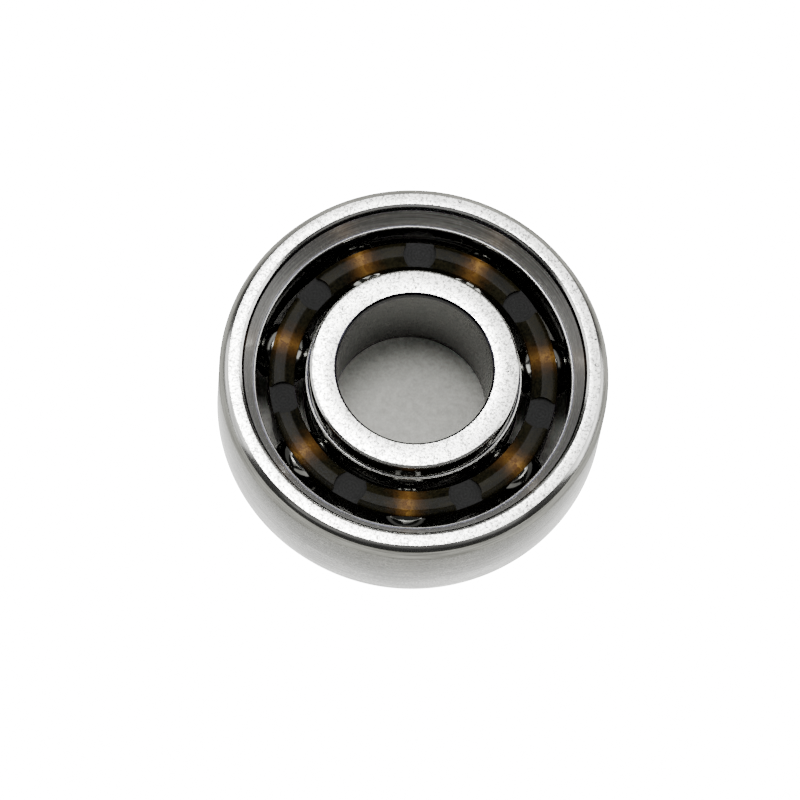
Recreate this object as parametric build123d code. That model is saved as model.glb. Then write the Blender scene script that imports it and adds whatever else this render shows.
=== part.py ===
from build123d import *
import os

# An open deep-groove ball bearing with a snap-in moulded cage.
# Millimetres, +Z along the axis, origin at the centre of the bearing.
# Each half profile below runs through (radius, z) points of the upper half
# and is mirrored to the lower half, because both rings are symmetric.

# Boundary dimensions
BORE_DIAMETER = 6.0
OUTSIDE_DIAMETER = 15.0
WIDTH = 5.0

# Rolling set
BALL_COUNT = 7
BALL_DIAMETER = 2.381
PITCH_DIAMETER = 10.3
RACEWAY_CLEARANCE = 0.02
INNER_CONFORMITY = 0.515  # raceway groove radius over ball diameter
OUTER_CONFORMITY = 0.53
FIRST_BALL_ANGLE = -90.0

# Outer ring: rounded outside corners, and a shallow seal recess at both faces
OUTER_SHOULDER_RADIUS = 6.08
OUTER_SEAT_RADIUS = 6.20
OUTER_SEAT_Z = 1.58
RECESS_RADIUS = 6.59
RECESS_CHAMFER = 0.12
OUTSIDE_CORNER_RADIAL = 0.35
OUTSIDE_CORNER_AXIAL = 0.60

# Inner ring: a ledge for a seal lip at both faces
INNER_LAND_RADIUS = 4.23
INNER_LEDGE_RADIUS = 4.10
INNER_LEDGE_Z = 1.52
INNER_FACE_RADIUS = 3.97
INNER_FACE_CHAMFER = 0.05
BORE_CORNER_RADIAL = 0.12
BORE_CORNER_AXIAL = 0.20

CORNER_FULLNESS = 0.27  # 0 is a straight chamfer, 1 a sharp corner

# Cage: one moulding, closed ring on top, open snap pockets below
CAGE_INSIDE_RADIUS = 4.575
CAGE_OUTSIDE_RADIUS = 5.565
CAGE_TOP_Z = 1.46
CAGE_BOTTOM_Z = -0.70
INNER_BEVEL_WIDTH = 0.38
INNER_BEVEL_DROP = 0.16
OUTER_BEVEL_WIDTH = 0.18
OUTER_BEVEL_DROP = 0.17
POCKET_CLEARANCE = 0.06
NOTCH_WIDTH = 1.0
NOTCH_TOP_Z = 0.15
PAD_DIAMETER = 1.27
PAD_DEPTH = 0.17

HALF_WIDTH = WIDTH / 2
BALL_RADIUS = BALL_DIAMETER / 2
PITCH_RADIUS = PITCH_DIAMETER / 2
BALL_PITCH_ANGLE = 360 / BALL_COUNT
FIRST_BRIDGE_ANGLE = FIRST_BALL_ANGLE + BALL_PITCH_ANGLE / 2


def below(points):
    """The mirror image of upper-half points, in the order that continues the outline."""
    return [(radius, -z) for radius, z in reversed(points)]


def corner_middle(start, sharp, end):
    """A point on a full, slightly flattened corner between two ends and its sharp tip."""
    chord_middle = (Vector(*start) + Vector(*end)) * 0.5
    return chord_middle + (Vector(*sharp) - chord_middle) * CORNER_FULLNESS


def groove_half_width(centre_radius, groove_radius, land_radius):
    """Half the axial width of a raceway groove where it meets the land."""
    return (groove_radius**2 - (centre_radius - land_radius) ** 2) ** 0.5


def ring_body(land_points, corner_radius, corner_radial, corner_axial, wall_side, groove_bottom):
    """A ring turned from its land and face points, two full corners and a raceway groove.

    wall_side is 1 when the plain wall is outside the faces and -1 when it is inside.
    """
    face_end = (corner_radius - wall_side * corner_radial, HALF_WIDTH)
    wall_end = (corner_radius, HALF_WIDTH - corner_axial)
    middle = corner_middle(face_end, (corner_radius, HALF_WIDTH), wall_end)
    upper = land_points + [face_end]
    with BuildPart() as ring:
        with BuildSketch(Plane.XZ):
            with BuildLine():
                Polyline(*upper)
                ThreePointArc(face_end, middle, wall_end)
                Line(wall_end, below([wall_end])[0])
                ThreePointArc(below([wall_end])[0], (middle.X, -middle.Y), below([face_end])[0])
                Polyline(*below(upper))
                ThreePointArc(below(upper)[-1], (groove_bottom, 0), upper[0])
            make_face()
        revolve(axis=Axis.Z)
    return ring.part


def outer_ring():
    groove_radius = OUTER_CONFORMITY * BALL_DIAMETER
    groove_bottom = PITCH_RADIUS + BALL_RADIUS + RACEWAY_CLEARANCE
    half = groove_half_width(groove_bottom - groove_radius, groove_radius, OUTER_SHOULDER_RADIUS)
    land_points = [
        (OUTER_SHOULDER_RADIUS, half),
        (OUTER_SHOULDER_RADIUS, OUTER_SEAT_Z),
        (OUTER_SEAT_RADIUS, OUTER_SEAT_Z),
        (RECESS_RADIUS, HALF_WIDTH - RECESS_CHAMFER),
        (RECESS_RADIUS + RECESS_CHAMFER, HALF_WIDTH),
    ]
    return ring_body(
        land_points,
        OUTSIDE_DIAMETER / 2,
        OUTSIDE_CORNER_RADIAL,
        OUTSIDE_CORNER_AXIAL,
        1,
        groove_bottom,
    )


def inner_ring():
    groove_radius = INNER_CONFORMITY * BALL_DIAMETER
    groove_bottom = PITCH_RADIUS - BALL_RADIUS - RACEWAY_CLEARANCE
    half = groove_half_width(groove_bottom + groove_radius, groove_radius, INNER_LAND_RADIUS)
    land_points = [
        (INNER_LAND_RADIUS, half),
        (INNER_LAND_RADIUS, INNER_LEDGE_Z),
        (INNER_LEDGE_RADIUS, INNER_LEDGE_Z),
        (INNER_FACE_RADIUS + INNER_FACE_CHAMFER, HALF_WIDTH - INNER_FACE_CHAMFER),
        (INNER_FACE_RADIUS, HALF_WIDTH),
    ]
    return ring_body(
        land_points,
        BORE_DIAMETER / 2,
        BORE_CORNER_RADIAL,
        BORE_CORNER_AXIAL,
        -1,
        groove_bottom,
    )


def cage_blank():
    """The cage before its pockets are opened: a ring with a bevelled top."""
    outline = [
        (CAGE_INSIDE_RADIUS, CAGE_BOTTOM_Z),
        (CAGE_OUTSIDE_RADIUS, CAGE_BOTTOM_Z),
        (CAGE_OUTSIDE_RADIUS, CAGE_TOP_Z - OUTER_BEVEL_DROP),
        (CAGE_OUTSIDE_RADIUS - OUTER_BEVEL_WIDTH, CAGE_TOP_Z),
        (CAGE_INSIDE_RADIUS + INNER_BEVEL_WIDTH, CAGE_TOP_Z),
        (CAGE_INSIDE_RADIUS, CAGE_TOP_Z - INNER_BEVEL_DROP),
    ]
    with BuildPart() as blank:
        with BuildSketch(Plane.XZ):
            with BuildLine():
                Polyline(*outline, close=True)
            make_face()
        revolve(axis=Axis.Z)
    return blank.part


def notch():
    """The round-ended slot that splits the bridge between two pockets into two prongs."""
    reach = CAGE_OUTSIDE_RADIUS - CAGE_INSIDE_RADIUS + NOTCH_WIDTH
    round_centre_z = NOTCH_TOP_Z - NOTCH_WIDTH / 2
    floor_z = CAGE_BOTTOM_Z - NOTCH_WIDTH / 2
    slot_height = round_centre_z - floor_z
    slot = Pos(0, 0, floor_z + slot_height / 2) * Box(reach, NOTCH_WIDTH, slot_height)
    round_end = Pos(0, 0, round_centre_z) * Rot(0, 90, 0) * Cylinder(NOTCH_WIDTH / 2, reach)
    return slot + round_end


def cage():
    middle_radius = (CAGE_INSIDE_RADIUS + CAGE_OUTSIDE_RADIUS) / 2
    pocket = Sphere(BALL_RADIUS + POCKET_CLEARANCE)
    pad = Pos(0, 0, CAGE_TOP_Z) * Cylinder(PAD_DIAMETER / 2, 2 * PAD_DEPTH)
    body = cage_blank()
    body -= PolarLocations(PITCH_RADIUS, BALL_COUNT, FIRST_BALL_ANGLE) * pocket
    body -= PolarLocations(middle_radius, BALL_COUNT, FIRST_BRIDGE_ANGLE) * notch()
    body -= PolarLocations(middle_radius, BALL_COUNT, FIRST_BRIDGE_ANGLE) * pad
    return body


def balls():
    """The balls in order, counted anticlockwise from the front."""
    places = PolarLocations(PITCH_RADIUS, BALL_COUNT, FIRST_BALL_ANGLE)
    return [place * Sphere(BALL_RADIUS) for place in places]


def main():
    os.makedirs("parts", exist_ok=True)
    pieces = {"outer_ring": outer_ring(), "inner_ring": inner_ring(), "cage": cage()}
    for number, ball in enumerate(balls(), start=1):
        pieces[f"ball_{number}"] = ball
    for node, piece in pieces.items():
        export_step(piece, f"parts/{node}.step")


main()
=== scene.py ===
import math

import bmesh
import bpy
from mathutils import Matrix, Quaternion, Vector


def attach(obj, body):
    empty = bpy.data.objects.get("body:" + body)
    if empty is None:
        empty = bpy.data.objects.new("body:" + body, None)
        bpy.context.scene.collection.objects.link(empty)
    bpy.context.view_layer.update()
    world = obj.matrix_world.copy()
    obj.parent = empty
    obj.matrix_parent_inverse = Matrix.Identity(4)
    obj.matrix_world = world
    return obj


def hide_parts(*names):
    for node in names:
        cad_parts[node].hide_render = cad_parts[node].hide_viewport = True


# An open deep-groove ball bearing: two turned rings, a moulded cage and seven balls.
# Profiles are (radius, z) points of the upper half in millimetres. Materials and the
# stage are in metres, as the scene is.

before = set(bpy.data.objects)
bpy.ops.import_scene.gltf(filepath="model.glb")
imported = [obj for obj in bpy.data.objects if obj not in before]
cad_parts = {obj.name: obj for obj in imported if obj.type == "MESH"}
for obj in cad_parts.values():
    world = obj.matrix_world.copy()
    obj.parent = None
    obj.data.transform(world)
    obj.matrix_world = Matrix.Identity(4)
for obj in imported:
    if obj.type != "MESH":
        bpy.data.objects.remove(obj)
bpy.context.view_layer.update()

MM = 0.001

# Sizes shared with the CAD source, in millimetres
HALF_WIDTH = 2.5
BALL_COUNT = 7
BALL_RADIUS = 2.381 / 2
PITCH_RADIUS = 5.15
FIRST_BALL_ANGLE = math.radians(-90)
BALL_PITCH_ANGLE = 2 * math.pi / BALL_COUNT
RACEWAY_CLEARANCE = 0.02
INNER_GROOVE_RADIUS = 0.515 * 2 * BALL_RADIUS
OUTER_GROOVE_RADIUS = 0.53 * 2 * BALL_RADIUS

# Outer ring: shoulder beside the groove, concave seal recess, rim, faceted corner
SHOULDER_RADIUS = 6.08
SHOULDER_Z = 1.57
RECESS_FOOT = (6.18, SHOULDER_Z)
RECESS_SWELL = (6.35, 1.74)
RECESS_TOP = (6.545, 2.27)
RIM_EDGE = (6.625, 2.43)
OUTER_FACE_INSIDE = 6.72
OUTER_FACE_OUTSIDE = 7.15
CORNER_UPPER = (7.27, 2.40)
CORNER_LOWER = (7.37, 2.30)
BARREL_TOP = (7.50, 1.85)

# Inner ring: land beside the groove, concave foot, seal ledge wall, face, bore corner
LAND_RADIUS = 4.17
LAND_Z = 1.55
LEDGE_FOOT = (4.09, LAND_Z)
LEDGE_SWELL = (4.06, LAND_Z)
LEDGE_TOP = (4.05, 1.85)
LEDGE_EDGE = (4.02, 2.44)
INNER_FACE_OUTSIDE = 3.94
INNER_FACE_INSIDE = 3.08
BORE_CORNER = (3.01, 2.43)
BORE_TOP = (3.00, 2.15)

# Cage
CAGE_INSIDE = 4.575
CAGE_OUTSIDE = 5.565
CAGE_MIDDLE = (CAGE_INSIDE + CAGE_OUTSIDE) / 2
CAGE_TOP = 1.46
CAGE_BOTTOM = -0.70
OUTER_BEVEL_WIDTH = 0.18
OUTER_BEVEL_DROP = 0.17
INNER_BEVEL_WIDTH = 0.38
INNER_BEVEL_DROP = 0.16
POCKET_RADIUS = BALL_RADIUS + 0.06
NOTCH_HALF = 0.5
NOTCH_TOP = 0.15
NOTCH_REACH = 1.0
NOTCH_DROP = 2.0
PAD_RADIUS = 0.635
PAD_DEPTH = 0.17
EAR_LENGTH = 0.5
EAR_WIDTH = 1.08

# Small edge rounds, and how far a round swells towards its corner (0 is a straight chamfer)
FINE_ROUND = 0.015
EDGE_ROUND = 0.02
CREASE_ROUND = 0.025
SOFT_ROUND = 0.03
WIDE_ROUND = 0.04
LAND_EDGE_ROUND = 0.06
ROUND_FULLNESS = 0.41
CONCAVE_FULLNESS = 0.35

# Mesh density
RING_SEGMENTS = 360
EDGE_STEPS = 4
RECESS_STEPS = 14
GROOVE_STEPS = 24
NOTCH_STEPS = 24
PAD_SEGMENTS = 64
BALL_CUTS = 24
POCKET_CUTS = 15
SHARP_ANGLE = math.radians(28)

# Finishes of a ring's surface, which are also its material slots in order
FACE, WALL, ROUND, EDGE, RECESS, LAND, RACEWAY = range(7)


# ---------------------------------------------------------------- profiles

def conic(start, sharp, end, fullness, steps):
    """Points of an arc from start to end that swells towards the sharp corner between them."""
    start, sharp, end = Vector(start), Vector(sharp), Vector(end)
    weight = fullness / (1 - fullness)
    points = []
    for step in range(steps + 1):
        t = step / steps
        a = (1 - t) ** 2
        b = 2 * t * (1 - t) * weight
        c = t**2
        points.append(tuple((start * a + sharp * b + end * c) / (a + b + c)))
    return points


def arc_strips(start, sharp, end, fullness, steps, finish):
    """An arc of one finish, without its last point."""
    return [(point, finish) for point in conic(start, sharp, end, fullness, steps)[:-1]]


def fillet(previous, corner, following, radius):
    """Points of a small round at one corner of a profile."""
    corner = Vector(corner)
    start = corner + (Vector(previous) - corner).normalized() * radius
    end = corner + (Vector(following) - corner).normalized() * radius
    return conic(start, corner, end, ROUND_FULLNESS, EDGE_STEPS)


def filleted(corners):
    """Profile points, each with the finish of the strip that follows it.

    Each corner is (point, fillet, finish of the surface after it), and a fillet of 0 stays sharp.
    """
    profile = []
    for index, (point, round_size, finish) in enumerate(corners):
        points = [point]
        if round_size:
            following = corners[(index + 1) % len(corners)][0]
            points = fillet(corners[index - 1][0], point, following, round_size)
        profile += [(made, finish) for made in points]
    return profile


def filleted_run(corners):
    """An open run of filleted corners that ends straight down a wall."""
    (radius, _), _, finish = corners[-1]
    return filleted(corners + [((radius, 0.0), 0.0, finish)])[:-1]


def land_edge(radius, z, away):
    """A land's rounded edge and the step beyond it, which is painted dark as shade; away is 1 where
    the step goes outwards.
    """
    step_radius = radius + away * LAND_EDGE_ROUND
    start = (radius, z - LAND_EDGE_ROUND)
    end = (step_radius, z)
    return arc_strips(start, (radius, z), end, ROUND_FULLNESS, EDGE_STEPS, LAND) + [(end, EDGE)]


def mirrored(upper):
    """The lower half of a profile, from the mirror of its last point back to that of its first."""
    lower = []
    for index in range(len(upper) - 1, -1, -1):
        (radius, z), _ = upper[index]
        finish = upper[max(index - 1, 0)][1]
        lower.append(((radius, -z), finish))
    return lower


def groove_half_width(centre_radius, groove_radius, land_radius):
    """Half the axial width of a raceway groove where it meets the land."""
    return math.sqrt(groove_radius**2 - (centre_radius - land_radius) ** 2)


def groove(centre_radius, groove_radius, land_radius, side):
    """Points of a raceway groove, lower edge to upper; side is 1 where it faces inwards."""
    limit = math.asin(groove_half_width(centre_radius, groove_radius, land_radius) / groove_radius)
    points = []
    for step in range(GROOVE_STEPS):
        angle = limit * (2 * step / GROOVE_STEPS - 1)
        radius = centre_radius + side * groove_radius * math.cos(angle)
        points.append(((radius, groove_radius * math.sin(angle)), RACEWAY))
    return points


# ---------------------------------------------------------------- meshes

def add_object(name, data):
    made = bpy.data.objects.new(name, data)
    bpy.context.scene.collection.objects.link(made)
    return made


def add_piece(name, mesh, body):
    """An object of the bearing itself, which moves with its body."""
    made = add_object(name, mesh)
    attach(made, body)
    return made


def finished_mesh(name, work):
    """The bmesh written to a new mesh, with its faces turned outwards."""
    bmesh.ops.recalc_face_normals(work, faces=work.faces)
    mesh = bpy.data.meshes.new(name)
    work.to_mesh(mesh)
    work.free()
    return mesh


def face_outwards(mesh):
    work = bmesh.new()
    work.from_mesh(mesh)
    bmesh.ops.recalc_face_normals(work, faces=work.faces)
    work.to_mesh(mesh)
    work.free()


def smooth(mesh):
    """Smooth shading that keeps only real edges sharp."""
    mesh.shade_smooth()
    mesh.set_sharp_from_angle(angle=SHARP_ANGLE)


def on_circle(radius, angle, z=0.0):
    return (radius * math.cos(angle), radius * math.sin(angle), z)


def ball_angles():
    return [FIRST_BALL_ANGLE + BALL_PITCH_ANGLE * index for index in range(BALL_COUNT)]


def lathe_mesh(name, profile):
    """A closed ring turned from ((radius, z), finish) points in millimetres."""
    vertices, faces = [], []
    count = len(profile)
    for segment in range(RING_SEGMENTS):
        angle = 2 * math.pi * segment / RING_SEGMENTS
        for (radius, z), _ in profile:
            vertices.append(on_circle(radius * MM, angle, z * MM))
    for segment in range(RING_SEGMENTS):
        here = segment * count
        there = (segment + 1) % RING_SEGMENTS * count
        for index in range(count):
            following = (index + 1) % count
            faces.append((here + index, there + index, there + following, here + following))
    mesh = bpy.data.meshes.new(name)
    mesh.from_pydata(vertices, [], faces)
    finishes = [finish for _, finish in profile] * RING_SEGMENTS
    mesh.polygons.foreach_set("material_index", finishes)
    face_outwards(mesh)
    smooth(mesh)
    return mesh


def quad_sphere_mesh(name, centre, radius, cuts):
    """A sphere of even square faces, with no poles."""
    work = bmesh.new()
    bmesh.ops.create_cube(work, size=2)
    bmesh.ops.subdivide_edges(work, edges=work.edges, cuts=cuts, use_grid_fill=True)
    for vertex in work.verts:
        vertex.co = Vector(centre) * MM + vertex.co.normalized() * radius * MM
    mesh = finished_mesh(name, work)
    mesh.shade_smooth()
    return mesh


# ---------------------------------------------------------------- rings

def outer_ring_mesh():
    """The outer ring, from its raceway's edge over the recess, rim and face to the barrel."""
    centre = PITCH_RADIUS + BALL_RADIUS + RACEWAY_CLEARANCE - OUTER_GROOVE_RADIUS
    half = groove_half_width(centre, OUTER_GROOVE_RADIUS, SHOULDER_RADIUS)
    upper = [((SHOULDER_RADIUS, half), RACEWAY)]
    upper += land_edge(SHOULDER_RADIUS, SHOULDER_Z, 1)
    upper += arc_strips(
        RECESS_FOOT, RECESS_SWELL, RECESS_TOP, CONCAVE_FULLNESS, RECESS_STEPS, RECESS
    )
    upper += filleted_run(
        [
            (RECESS_TOP, 0.0, EDGE),
            (RIM_EDGE, EDGE_ROUND, LAND),
            ((OUTER_FACE_INSIDE, HALF_WIDTH), EDGE_ROUND, FACE),
            ((OUTER_FACE_OUTSIDE, HALF_WIDTH), FINE_ROUND, ROUND),
            (CORNER_UPPER, SOFT_ROUND, ROUND),
            (CORNER_LOWER, WIDE_ROUND, ROUND),
            (BARREL_TOP, WIDE_ROUND, WALL),
        ]
    )
    groove_points = groove(centre, OUTER_GROOVE_RADIUS, SHOULDER_RADIUS, 1)
    return lathe_mesh("outer_ring_turned", upper + mirrored(upper) + groove_points)


def inner_ring_mesh():
    """The inner ring, from its raceway's edge over the ledge and face to the bore."""
    centre = PITCH_RADIUS - BALL_RADIUS - RACEWAY_CLEARANCE + INNER_GROOVE_RADIUS
    half = groove_half_width(centre, INNER_GROOVE_RADIUS, LAND_RADIUS)
    upper = [((LAND_RADIUS, half), LAND)]
    upper += land_edge(LAND_RADIUS, LAND_Z, -1)
    upper += arc_strips(
        LEDGE_FOOT, LEDGE_SWELL, LEDGE_TOP, CONCAVE_FULLNESS, EDGE_STEPS, RACEWAY
    )
    upper += filleted_run(
        [
            (LEDGE_TOP, 0.0, RACEWAY),
            (LEDGE_EDGE, EDGE_ROUND, LAND),
            ((INNER_FACE_OUTSIDE, HALF_WIDTH), EDGE_ROUND, FACE),
            ((INNER_FACE_INSIDE, HALF_WIDTH), FINE_ROUND, EDGE),
            (BORE_CORNER, EDGE_ROUND, EDGE),
            (BORE_TOP, EDGE_ROUND, WALL),
        ]
    )
    groove_points = groove(centre, INNER_GROOVE_RADIUS, LAND_RADIUS, -1)
    return lathe_mesh("inner_ring_turned", upper + mirrored(upper) + groove_points)


# ---------------------------------------------------------------- cage

def cage_blank_mesh():
    """The cage before anything is cut from it: a ring with a bevelled top."""
    corners = [
        ((CAGE_INSIDE, CAGE_BOTTOM), WIDE_ROUND, 0),
        ((CAGE_OUTSIDE, CAGE_BOTTOM), WIDE_ROUND, 0),
        ((CAGE_OUTSIDE, CAGE_TOP - OUTER_BEVEL_DROP), WIDE_ROUND, 0),
        ((CAGE_OUTSIDE - OUTER_BEVEL_WIDTH, CAGE_TOP), CREASE_ROUND, 0),
        ((CAGE_INSIDE + INNER_BEVEL_WIDTH, CAGE_TOP), CREASE_ROUND, 0),
        ((CAGE_INSIDE, CAGE_TOP - INNER_BEVEL_DROP), SOFT_ROUND, 0),
    ]
    return lathe_mesh("cage_blank", filleted(corners))


def pad_mesh():
    """The round of an ejector pad."""
    work = bmesh.new()
    bmesh.ops.create_cone(
        work,
        cap_ends=True,
        segments=PAD_SEGMENTS,
        radius1=PAD_RADIUS * MM,
        radius2=PAD_RADIUS * MM,
        depth=2 * PAD_DEPTH * MM,
    )
    return finished_mesh("pad", work)


def ear_mesh():
    """The block that widens a pad where it runs out at the cage's edge."""
    work = bmesh.new()
    bmesh.ops.create_cube(work, size=MM)
    bmesh.ops.scale(work, verts=work.verts, vec=(EAR_LENGTH, EAR_WIDTH, 2 * PAD_DEPTH))
    return finished_mesh("pad_ears", work)


def notch_mesh():
    """A round-ended slot along X, open downwards, round axis at the origin."""
    outline = []
    for step in range(NOTCH_STEPS + 1):
        angle = math.pi * step / NOTCH_STEPS
        outline.append((NOTCH_HALF * math.cos(angle), NOTCH_HALF * math.sin(angle)))
    outline += [(-NOTCH_HALF, -NOTCH_DROP), (NOTCH_HALF, -NOTCH_DROP)]
    work = bmesh.new()
    near = [work.verts.new((-NOTCH_REACH * MM, y * MM, z * MM)) for y, z in outline]
    far = [work.verts.new((NOTCH_REACH * MM, y * MM, z * MM)) for y, z in outline]
    work.faces.new(near)
    work.faces.new(far)
    for index in range(len(outline)):
        following = (index + 1) % len(outline)
        work.faces.new((near[index], near[following], far[following], far[index]))
    return finished_mesh("notch", work)


def cutter(mesh, angle, place):
    """A cutting tool turned about Z and set at a place in millimetres."""
    made = add_object("cutter", mesh)
    made.location = Vector(place) * MM
    made.rotation_mode = "QUATERNION"
    made.rotation_quaternion = Quaternion((0, 0, 1), angle)
    return made


def cage_cutters():
    """The tools for every pocket, notch and pad, spoke by spoke."""
    pocket = quad_sphere_mesh("pocket", (0, 0, 0), POCKET_RADIUS, POCKET_CUTS)
    notch = notch_mesh()
    pad = pad_mesh()
    ear = ear_mesh()
    made = []
    for angle in ball_angles():
        bridge = angle + BALL_PITCH_ANGLE / 2
        made.append(cutter(pocket, angle, on_circle(PITCH_RADIUS, angle)))
        made.append(cutter(notch, bridge, on_circle(CAGE_MIDDLE, bridge, NOTCH_TOP - NOTCH_HALF)))
        made.append(cutter(pad, bridge, on_circle(CAGE_MIDDLE, bridge, CAGE_TOP)))
        made.append(cutter(ear, bridge, on_circle(CAGE_OUTSIDE, bridge, CAGE_TOP)))
    return made


def cage_object():
    """The cage ring with its pockets, notches and ejector pads cut out."""
    body = add_piece("cage_moulding", cage_blank_mesh(), "cage")
    cutters = cage_cutters()
    for tool in cutters:
        step = body.modifiers.new("cut", "BOOLEAN")
        step.object = tool
        step.operation = "DIFFERENCE"
        step.solver = "EXACT"
    bpy.context.view_layer.update()
    evaluated = body.evaluated_get(bpy.context.evaluated_depsgraph_get())
    finished = bpy.data.meshes.new_from_object(evaluated)
    body.modifiers.clear()
    body.data = finished
    for tool in cutters:
        bpy.data.objects.remove(tool)
    smooth(finished)
    return body


# ---------------------------------------------------------------- materials

class Paint:
    """A material being wired: a Principled surface and short ways to add nodes."""

    def __init__(self, name):
        self.material = bpy.data.materials.new(name)
        self.material.use_nodes = True
        self.tree = self.material.node_tree
        self.surface = self.tree.nodes["Principled BSDF"]

    def set(self, **values):
        for name, value in values.items():
            self.surface.inputs[name.replace("_", " ")].default_value = value

    def link(self, output, socket):
        self.tree.links.new(output, self.surface.inputs[socket])

    def feed(self, socket, value):
        """Link a socket's output into this socket, or set a plain value on it."""
        if isinstance(value, bpy.types.NodeSocket):
            self.tree.links.new(value, socket)
        else:
            socket.default_value = value

    def add(self, kind, **inputs):
        made = self.tree.nodes.new(kind)
        for name, value in inputs.items():
            self.feed(made.inputs[name.replace("_", " ")], value)
        return made

    def math(self, operation, *values):
        made = self.tree.nodes.new("ShaderNodeMath")
        made.operation = operation
        for socket, value in zip(made.inputs, values):
            self.feed(socket, value)
        return made.outputs[0]

    def times(self, first, second):
        return self.math("MULTIPLY", first, second)

    def plus(self, first, second):
        return self.math("ADD", first, second)

    def length(self, x, y):
        return self.math("SQRT", self.plus(self.times(x, x), self.times(y, y)))

    def ramp(self, value, low, high, to_low=0.0, to_high=1.0):
        """The value's range from low to high mapped to another one, and held at its ends."""
        made = self.tree.nodes.new("ShaderNodeMapRange")
        made.clamp = True
        names = ("From Min", "From Max", "To Min", "To Max")
        for name, number in zip(names, (low, high, to_low, to_high)):
            made.inputs[name].default_value = number
        self.feed(made.inputs["Value"], value)
        return made.outputs["Result"]

    def mix(self, factor, first, second):
        """A colour between two others."""
        made = self.tree.nodes.new("ShaderNodeMix")
        made.data_type = "RGBA"
        sockets = {socket.identifier: socket for socket in [*made.inputs, *made.outputs]}
        self.feed(sockets["Factor_Float"], factor)
        self.feed(sockets["A_Color"], first)
        self.feed(sockets["B_Color"], second)
        return sockets["Result_Color"]

    def place(self):
        return self.tree.nodes.new("ShaderNodeTexCoord").outputs["Object"]

    def coordinates(self):
        """The x, y and z of the shaded point in the piece's own frame."""
        return self.add("ShaderNodeSeparateXYZ", Vector=self.place()).outputs

    def turning(self, along):
        """Coordinates (radius, z, way round) for turned or ground lines.

        The smaller along is, the further a pattern is drawn out round the axis.
        """
        x, y, z = self.coordinates()
        around = self.times(self.math("ARCTAN2", y, x), along * MM)
        return self.add("ShaderNodeCombineXYZ", X=self.length(x, y), Y=z, Z=around).outputs[0]

    def noise(self, vector, scale, detail, roughness):
        made = self.add(
            "ShaderNodeTexNoise", Vector=vector, Scale=scale, Detail=detail, Roughness=roughness
        )
        return made.outputs["Fac"]

    def bump(self, height, strength, distance):
        made = self.add("ShaderNodeBump", Height=height, Strength=strength, Distance=distance)
        self.link(made.outputs[0], "Normal")

    def metal(self, colour, pattern, rough_low, rough_high):
        """Bare metal, with a roughness that follows the pattern from its low to its high parts."""
        self.link(colour, "Base Color")
        self.link(self.ramp(pattern, 0.3, 0.7, rough_low, rough_high), "Roughness")
        self.set(Metallic=1.0)


def grey(level):
    return (level, level, level, 1.0)


def steel(level):
    """A steel reflectance, a shade warmer than neutral."""
    return (level, level, 0.96 * level, 1.0)


def ground_face_steel():
    """Lapped faces: bright, with a fine grey speckle and a few darker specks."""
    paint = Paint("ground_face_steel")
    place = paint.place()
    grain = paint.noise(place, scale=13000, detail=3.0, roughness=0.65)
    specks = paint.ramp(paint.noise(place, scale=6000, detail=2.0, roughness=0.5), 0.66, 0.70)
    colour = paint.mix(paint.ramp(grain, 0.38, 0.56), steel(0.16), steel(1.0))
    colour = paint.mix(specks, colour, steel(0.06))
    paint.metal(colour, grain, rough_low=0.24, rough_high=0.12)
    paint.bump(grain, strength=0.4, distance=0.004 * MM)
    return paint.material


def ground_barrel_steel():
    """The outside: centreless ground, with lines round the axis and darker drifts."""
    paint = Paint("ground_barrel_steel")
    lines = paint.noise(paint.turning(0.4), scale=9000, detail=4.0, roughness=0.65)
    drift = paint.noise(paint.turning(3.0), scale=900, detail=3.0, roughness=0.6)
    grain = paint.noise(paint.place(), scale=12000, detail=3.0, roughness=0.65)
    colour = paint.mix(paint.ramp(lines, 0.36, 0.60), steel(0.34), steel(0.56))
    colour = paint.mix(paint.ramp(grain, 0.40, 0.58), steel(0.26), colour)
    colour = paint.mix(paint.ramp(drift, 0.40, 0.64, to_high=0.5), colour, steel(0.20))
    paint.metal(colour, lines, rough_low=0.34, rough_high=0.22)
    paint.bump(lines, strength=0.4, distance=0.004 * MM)
    return paint.material


def ground_bore_steel_painted_shade():
    """The bore: ground with a finer wheel, and painted darker as the shade inside the bore."""
    paint = Paint("ground_bore_steel_painted_shade")
    lines = paint.noise(paint.turning(0.5), scale=14000, detail=3.0, roughness=0.6)
    colour = paint.mix(paint.ramp(lines, 0.3, 0.7), steel(0.15), steel(0.23))
    paint.metal(colour, lines, rough_low=0.34, rough_high=0.26)
    paint.bump(lines, strength=0.3, distance=0.003 * MM)
    return paint.material


def tumbled_corner_steel():
    """The outer ring's corners, tumbled before grinding."""
    paint = Paint("tumbled_corner_steel")
    cloud = paint.noise(paint.turning(0.3), scale=9000, detail=4.0, roughness=0.65)
    colour = paint.mix(paint.ramp(cloud, 0.38, 0.60), steel(0.26), steel(0.56))
    paint.metal(colour, cloud, rough_low=0.24, rough_high=0.12)
    paint.bump(cloud, strength=0.3, distance=0.005 * MM)
    return paint.material


def painted_shade_edge_steel():
    """Narrow steps, chamfers and the bore's corners, painted dark as the shade that falls in them.
    """
    paint = Paint("painted_shade_edge_steel")
    cloud = paint.noise(paint.turning(2.0), scale=6000, detail=3.0, roughness=0.6)
    darkest, lightest = (0.010, 0.010, 0.012, 1.0), (0.035, 0.035, 0.048, 1.0)
    colour = paint.mix(paint.ramp(cloud, 0.35, 0.65), darkest, lightest)
    paint.metal(colour, cloud, rough_low=0.14, rough_high=0.26)
    paint.bump(cloud, strength=0.3, distance=0.005 * MM)
    return paint.material


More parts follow.
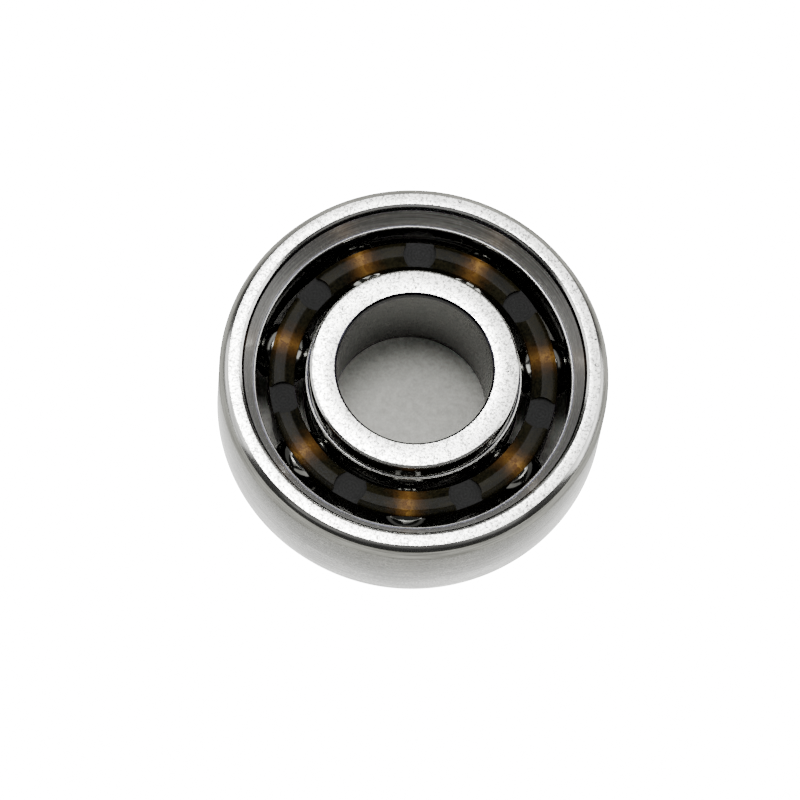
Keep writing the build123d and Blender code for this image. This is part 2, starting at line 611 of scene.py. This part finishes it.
def recess_steel():
    """The seal recess: turned and never ground, so its fine lines draw highlights out."""
    paint = Paint("recess_steel")
    lines = paint.noise(paint.turning(0.2), scale=12000, detail=3.0, roughness=0.6)
    colour = paint.mix(paint.ramp(lines, 0.36, 0.64), steel(0.40), steel(0.66))
    paint.metal(colour, lines, rough_low=0.40, rough_high=0.32)
    paint.bump(lines, strength=0.35, distance=0.003 * MM)
    paint.set(Anisotropic=0.7, Anisotropic_Rotation=0.25)
    return paint.material


def land_steel():
    """Lands and rims: finely ground."""
    paint = Paint("land_steel")
    lines = paint.noise(paint.turning(0.15), scale=16000, detail=2.0, roughness=0.5)
    colour = paint.mix(paint.ramp(lines, 0.3, 0.7), steel(0.42), steel(0.56))
    paint.metal(colour, lines, rough_low=0.12, rough_high=0.2)
    paint.bump(lines, strength=0.2, distance=0.003 * MM)
    return paint.material


def raceway_steel_painted_shade():
    """The honed raceway grooves and the inner ring's ledge wall, painted far darker than bare steel
    as the shade deep between the parts.
    """
    paint = Paint("raceway_steel_painted_shade")
    lines = paint.noise(paint.turning(0.15), scale=18000, detail=2.0, roughness=0.5)
    colour = paint.mix(paint.ramp(lines, 0.3, 0.7), steel(0.10), steel(0.15))
    paint.metal(colour, lines, rough_low=0.08, rough_high=0.15)
    return paint.material


def polished_ball_steel():
    """The balls: lapped to a mirror, with a trace of haze."""
    paint = Paint("polished_ball_steel")
    cloud = paint.noise(paint.place(), scale=3000, detail=3.0, roughness=0.6)
    haze = paint.ramp(cloud, 0.35, 0.65)
    paint.link(paint.mix(haze, steel(0.34), steel(0.42)), "Base Color")
    paint.link(paint.ramp(haze, 0.0, 1.0, 0.03, 0.07), "Roughness")
    paint.set(Metallic=1.0)
    return paint.material


# ---------------------------------------------------------------- cage material

# How far the painted glow over a ball reaches sideways, and how far its edge wanders
HALO_REACH = 1.0 * MM
CORE_REACH = 0.55 * MM
GLOW_WANDER = 0.2 * MM

# The painted glow's core fades in between these radii
CORE_START_RADIUS = 4.80 * MM
CORE_FULL_RADIUS = 5.15 * MM

# A pad's painted area: near its floor's height, and inside a radius
PAD_FLOOR = (CAGE_TOP - PAD_DEPTH) * MM
PAD_HEIGHT_FULL = 0.01 * MM
PAD_HEIGHT_END = 0.03 * MM
PAD_PAINT_FULL = 0.73 * MM
PAD_PAINT_END = 0.75 * MM
PAD_RING_FREQUENCY = 52000.0

POLYMER_DARK = (0.002, 0.002, 0.001, 1.0)
POLYMER_BROWN = (0.014, 0.012, 0.005, 1.0)
# Colours of the painted glow: light that shows through the cage's thin wall over each ball
PAINTED_GLOW_HALO_COLOUR = (0.085, 0.036, 0.008, 1.0)
PAINTED_GLOW_CORE_COLOUR = (0.29, 0.155, 0.034, 1.0)


def spoke_frame(paint, x, y, first_angle):
    """Coordinates (sideways, outward) along the nearest of seven evenly spaced spokes."""
    radius = paint.length(x, y)
    angle = paint.math("SUBTRACT", paint.math("ARCTAN2", y, x), first_angle)
    local = paint.math("WRAP", angle, BALL_PITCH_ANGLE / 2, -BALL_PITCH_ANGLE / 2)
    sideways = paint.times(radius, paint.math("SINE", local))
    outward = paint.times(radius, paint.math("COSINE", local))
    return sideways, outward


def beside_ball(paint, x, y):
    """Distance sideways from the middle of the nearest ball."""
    sideways, _ = spoke_frame(paint, x, y, FIRST_BALL_ANGLE)
    return paint.math("ABSOLUTE", sideways)


def from_pad(paint, x, y):
    """Distance from the middle of the nearest ejector pad."""
    sideways, outward = spoke_frame(paint, x, y, FIRST_BALL_ANGLE + BALL_PITCH_ANGLE / 2)
    return paint.length(sideways, paint.math("SUBTRACT", outward, CAGE_MIDDLE * MM))


def painted_amber_glow(paint, sideways, radius):
    """A painted glow for the light that shows through the thin wall over a ball: a halo and a
    patchy core.
    """
    patches = paint.noise(paint.place(), scale=3600, detail=4.0, roughness=0.7)
    wander = paint.ramp(patches, 0.3, 0.7, -GLOW_WANDER, GLOW_WANDER)
    reach = paint.plus(sideways, wander)
    halo = paint.math("POWER", paint.ramp(reach, HALO_REACH, 0.0), 2.0)
    core = paint.math("POWER", paint.ramp(reach, CORE_REACH, 0.0), 1.5)
    core = paint.times(core, paint.ramp(patches, 0.44, 0.56, to_low=0.1))
    core = paint.times(core, paint.ramp(radius, CORE_START_RADIUS, CORE_FULL_RADIUS, to_low=0.45))
    return halo, core


def polymer_colour_and_painted_glow(paint, x, y, grain):
    """Near-black brown with streaks, and a painted amber glow over the balls."""
    smear = paint.noise(paint.turning(1.2), scale=4000, detail=3.0, roughness=0.6)
    mottle = paint.plus(paint.times(smear, 0.5), paint.times(grain, 0.5))
    halo, core = painted_amber_glow(paint, beside_ball(paint, x, y), paint.length(x, y))
    colour = paint.mix(paint.ramp(mottle, 0.40, 0.60), POLYMER_DARK, POLYMER_BROWN)
    colour = paint.mix(halo, colour, PAINTED_GLOW_HALO_COLOUR)
    return paint.mix(core, colour, PAINTED_GLOW_CORE_COLOUR)


def on_pad_floor(paint, z, to_pad):
    """1 on the floor of an ejector pad and 0 elsewhere, with soft edges."""
    below_rim = paint.ramp(z, PAD_FLOOR + PAD_HEIGHT_END, PAD_FLOOR + PAD_HEIGHT_FULL)
    above_body = paint.ramp(z, PAD_FLOOR - PAD_HEIGHT_END, PAD_FLOOR - PAD_HEIGHT_FULL)
    inside = paint.ramp(to_pad, PAD_PAINT_END, PAD_PAINT_FULL)
    return paint.times(paint.times(below_rim, above_body), inside)


def amber_polymer_painted_glow():
    """Dark translucent polymer with a painted amber glow over the balls, for the light that shows
    through its thin wall there, and machined matt grey pads.
    """
    paint = Paint("amber_polymer_painted_glow")
    x, y, z = paint.coordinates()
    to_pad = from_pad(paint, x, y)
    on_pad = on_pad_floor(paint, z, to_pad)
    grain = paint.noise(paint.place(), scale=11000, detail=3.0, roughness=0.6)
    rings = paint.math("SINE", paint.times(to_pad, PAD_RING_FREQUENCY))
    pad_tone = paint.plus(paint.ramp(grain, 0.3, 0.7, -0.8, 0.8), paint.times(rings, 0.2))
    pad_colour = paint.mix(paint.ramp(pad_tone, -1.0, 1.0), grey(0.009), grey(0.028))
    paint.link(paint.mix(on_pad, polymer_colour_and_painted_glow(paint, x, y, grain), pad_colour), "Base Color")
    gloss = paint.ramp(grain, 0.3, 0.7, 0.30, 0.44)
    paint.link(paint.plus(gloss, paint.times(on_pad, 0.2)), "Roughness")
    tool_marks = paint.times(paint.times(rings, on_pad), 0.3)
    paint.bump(paint.plus(grain, tool_marks), strength=0.4, distance=0.006 * MM)
    paint.set(IOR=1.53, Specular_IOR_Level=0.06)
    return paint.material


# ---------------------------------------------------------------- object

def dress(piece, materials, node):
    for material in materials:
        piece.data.materials.append(material)
    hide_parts(node)


def build_rings():
    """Both rings, with one steel for each finish in the order of the finishes."""
    face, edge, recess, land, raceway = (
        ground_face_steel(),
        painted_shade_edge_steel(),
        recess_steel(),
        land_steel(),
        raceway_steel_painted_shade(),
    )
    outer_steels = [
        face, ground_barrel_steel(), tumbled_corner_steel(), edge, recess, land, raceway
    ]
    inner_steels = [face, ground_bore_steel_painted_shade(), edge, edge, recess, land, raceway]
    outer = add_piece("outer_ring_turned", outer_ring_mesh(), "outer_ring")
    dress(outer, outer_steels, "outer_ring")
    inner = add_piece("inner_ring_turned", inner_ring_mesh(), "inner_ring")
    dress(inner, inner_steels, "inner_ring")


def build_balls():
    ball_steel = polished_ball_steel()
    for number, angle in enumerate(ball_angles(), start=1):
        name = f"ball_{number}_lapped"
        centre = on_circle(PITCH_RADIUS, angle)
        mesh = quad_sphere_mesh(name, centre, BALL_RADIUS, BALL_CUTS)
        dress(add_piece(name, mesh, f"ball_{number}"), [ball_steel], f"ball_{number}")


def build_bearing():
    build_rings()
    dress(cage_object(), [amber_polymer_painted_glow()], "cage")
    build_balls()


# ---------------------------------------------------------------- stage

# Radiance that the picture shows as pure white
BURNT_OUT = 20.0
WORLD_RADIANCE = 0.05

FLOOR_REACH = 0.6
PAPER_DARK = (0.54, 0.54, 0.50, 1.0)
PAPER_LIGHT = (0.74, 0.74, 0.69, 1.0)

# The paper turns white between these radii, and its painted glow, which stands in for bounce light,
# dies out at the last
PAPER_PLAIN_RADIUS = 7.0 * MM
PAPER_WHITE_RADIUS = 7.5 * MM
BOUNCE_END_RADIUS = 9.2 * MM
BOUNCE_RADIANCE = 3.4


def floor_paper():
    """Pale paper, burnt out to white all round the bearing and plain under it, with a painted
    glowing ring at the bearing's foot that lights the barrel from below.
    """
    paint = Paint("floor_paper")
    x, y, _ = paint.coordinates()
    radius = paint.length(x, y)
    around = paint.ramp(radius, PAPER_PLAIN_RADIUS, PAPER_WHITE_RADIUS)
    seen = paint.tree.nodes.new("ShaderNodeLightPath").outputs["Is Camera Ray"]
    white = paint.times(seen, BURNT_OUT)
    # Painted glow: a ring of paper round the bearing's foot that emits light onto the barrel
    near = paint.ramp(radius, BOUNCE_END_RADIUS, PAPER_WHITE_RADIUS)
    bounce = paint.times(paint.math("POWER", near, 2.0), BOUNCE_RADIANCE)
    paint.link(paint.times(paint.plus(white, bounce), around), "Emission Strength")
    fibres = paint.noise(paint.place(), scale=5000, detail=4.0, roughness=0.7)
    paint.link(paint.mix(paint.ramp(fibres, 0.3, 0.7), PAPER_DARK, PAPER_LIGHT), "Base Color")
    paint.set(Roughness=0.9, Emission_Color=grey(1.0), Specular_IOR_Level=0.0)
    return paint.material


def floor():
    mesh = bpy.data.meshes.new("floor")
    sides = ((-1, -1), (1, -1), (1, 1), (-1, 1))
    corners = [(x * FLOOR_REACH, y * FLOOR_REACH, -HALF_WIDTH * MM) for x, y in sides]
    mesh.from_pydata(corners, [], [(0, 1, 2, 3)])
    mesh.materials.append(floor_paper())
    add_object("floor", mesh)


def softbox(name, place, width, height, radiance):
    """A panel of even radiance that faces the bearing."""
    light = bpy.data.lights.new(name, "AREA")
    light.shape = "RECTANGLE"
    light.size = width
    light.size_y = height
    light.energy = radiance * math.pi * width * height
    made = add_object(name, light)
    made.location = place
    made.rotation_mode = "QUATERNION"
    made.rotation_quaternion = (-Vector(place)).to_track_quat("-Z", "Y")


def studio_world():
    """A dim white world that the camera itself sees burnt out."""
    world = bpy.data.worlds.new("studio")
    bpy.context.scene.world = world
    world.use_nodes = True
    tree = world.node_tree
    background = tree.nodes["Background"]
    background.inputs["Color"].default_value = grey(1.0)
    seen = tree.nodes.new("ShaderNodeLightPath")
    level = tree.nodes.new("ShaderNodeMapRange")
    level.inputs["To Min"].default_value = WORLD_RADIANCE
    level.inputs["To Max"].default_value = BURNT_OUT
    tree.links.new(seen.outputs["Is Camera Ray"], level.inputs["Value"])
    tree.links.new(level.outputs["Result"], background.inputs["Strength"])


def studio_light():
    studio_world()
    softbox("overhead", (0.05, 0.12, 0.42), width=0.31, height=0.31, radiance=3.2)
    softbox("key", (-0.012, 0.027, 0.120), width=0.036, height=0.036, radiance=18.0)
    softbox("left", (-0.50, 0.06, 0.24), width=0.40, height=0.40, radiance=2.8)
    softbox("right", (0.50, 0.06, 0.24), width=0.40, height=0.40, radiance=4.6)
    softbox("back", (0.0, 0.55, 0.26), width=1.10, height=0.36, radiance=1.0)
    softbox("front", (0.0, -0.44, 0.35), width=1.20, height=0.18, radiance=0.35)


# Camera: where it stands, and how far the top face's centre is from the picture's centre
CAMERA_AZIMUTH = math.radians(-4.5)
CAMERA_ELEVATION = math.radians(70.9)
CAMERA_ROLL = math.radians(7.7)
CAMERA_DISTANCE = 0.2475
CAMERA_LENS = 290.7
FACE_CENTRE_RIGHT = 0.565 * MM
FACE_CENTRE_UP = 1.222 * MM


def camera():
    data = bpy.data.cameras.new("photo_camera")
    data.lens = CAMERA_LENS
    data.sensor_width = 36
    data.clip_start = 0.01
    data.clip_end = 5
    level = math.cos(CAMERA_ELEVATION)
    back = Vector(
        (
            math.sin(CAMERA_AZIMUTH) * level,
            -math.cos(CAMERA_AZIMUTH) * level,
            math.sin(CAMERA_ELEVATION),
        )
    )
    turn = (-back).to_track_quat("-Z", "Y") @ Quaternion((0, 0, 1), CAMERA_ROLL)
    right = turn @ Vector((1, 0, 0))
    up = turn @ Vector((0, 1, 0))
    aim = Vector((0, 0, HALF_WIDTH * MM)) - right * FACE_CENTRE_RIGHT - up * FACE_CENTRE_UP
    made = add_object("photo_camera", data)
    made.rotation_mode = "QUATERNION"
    made.rotation_quaternion = turn
    made.location = aim + back * CAMERA_DISTANCE
    bpy.context.scene.camera = made


build_bearing()
floor()
studio_light()
camera()
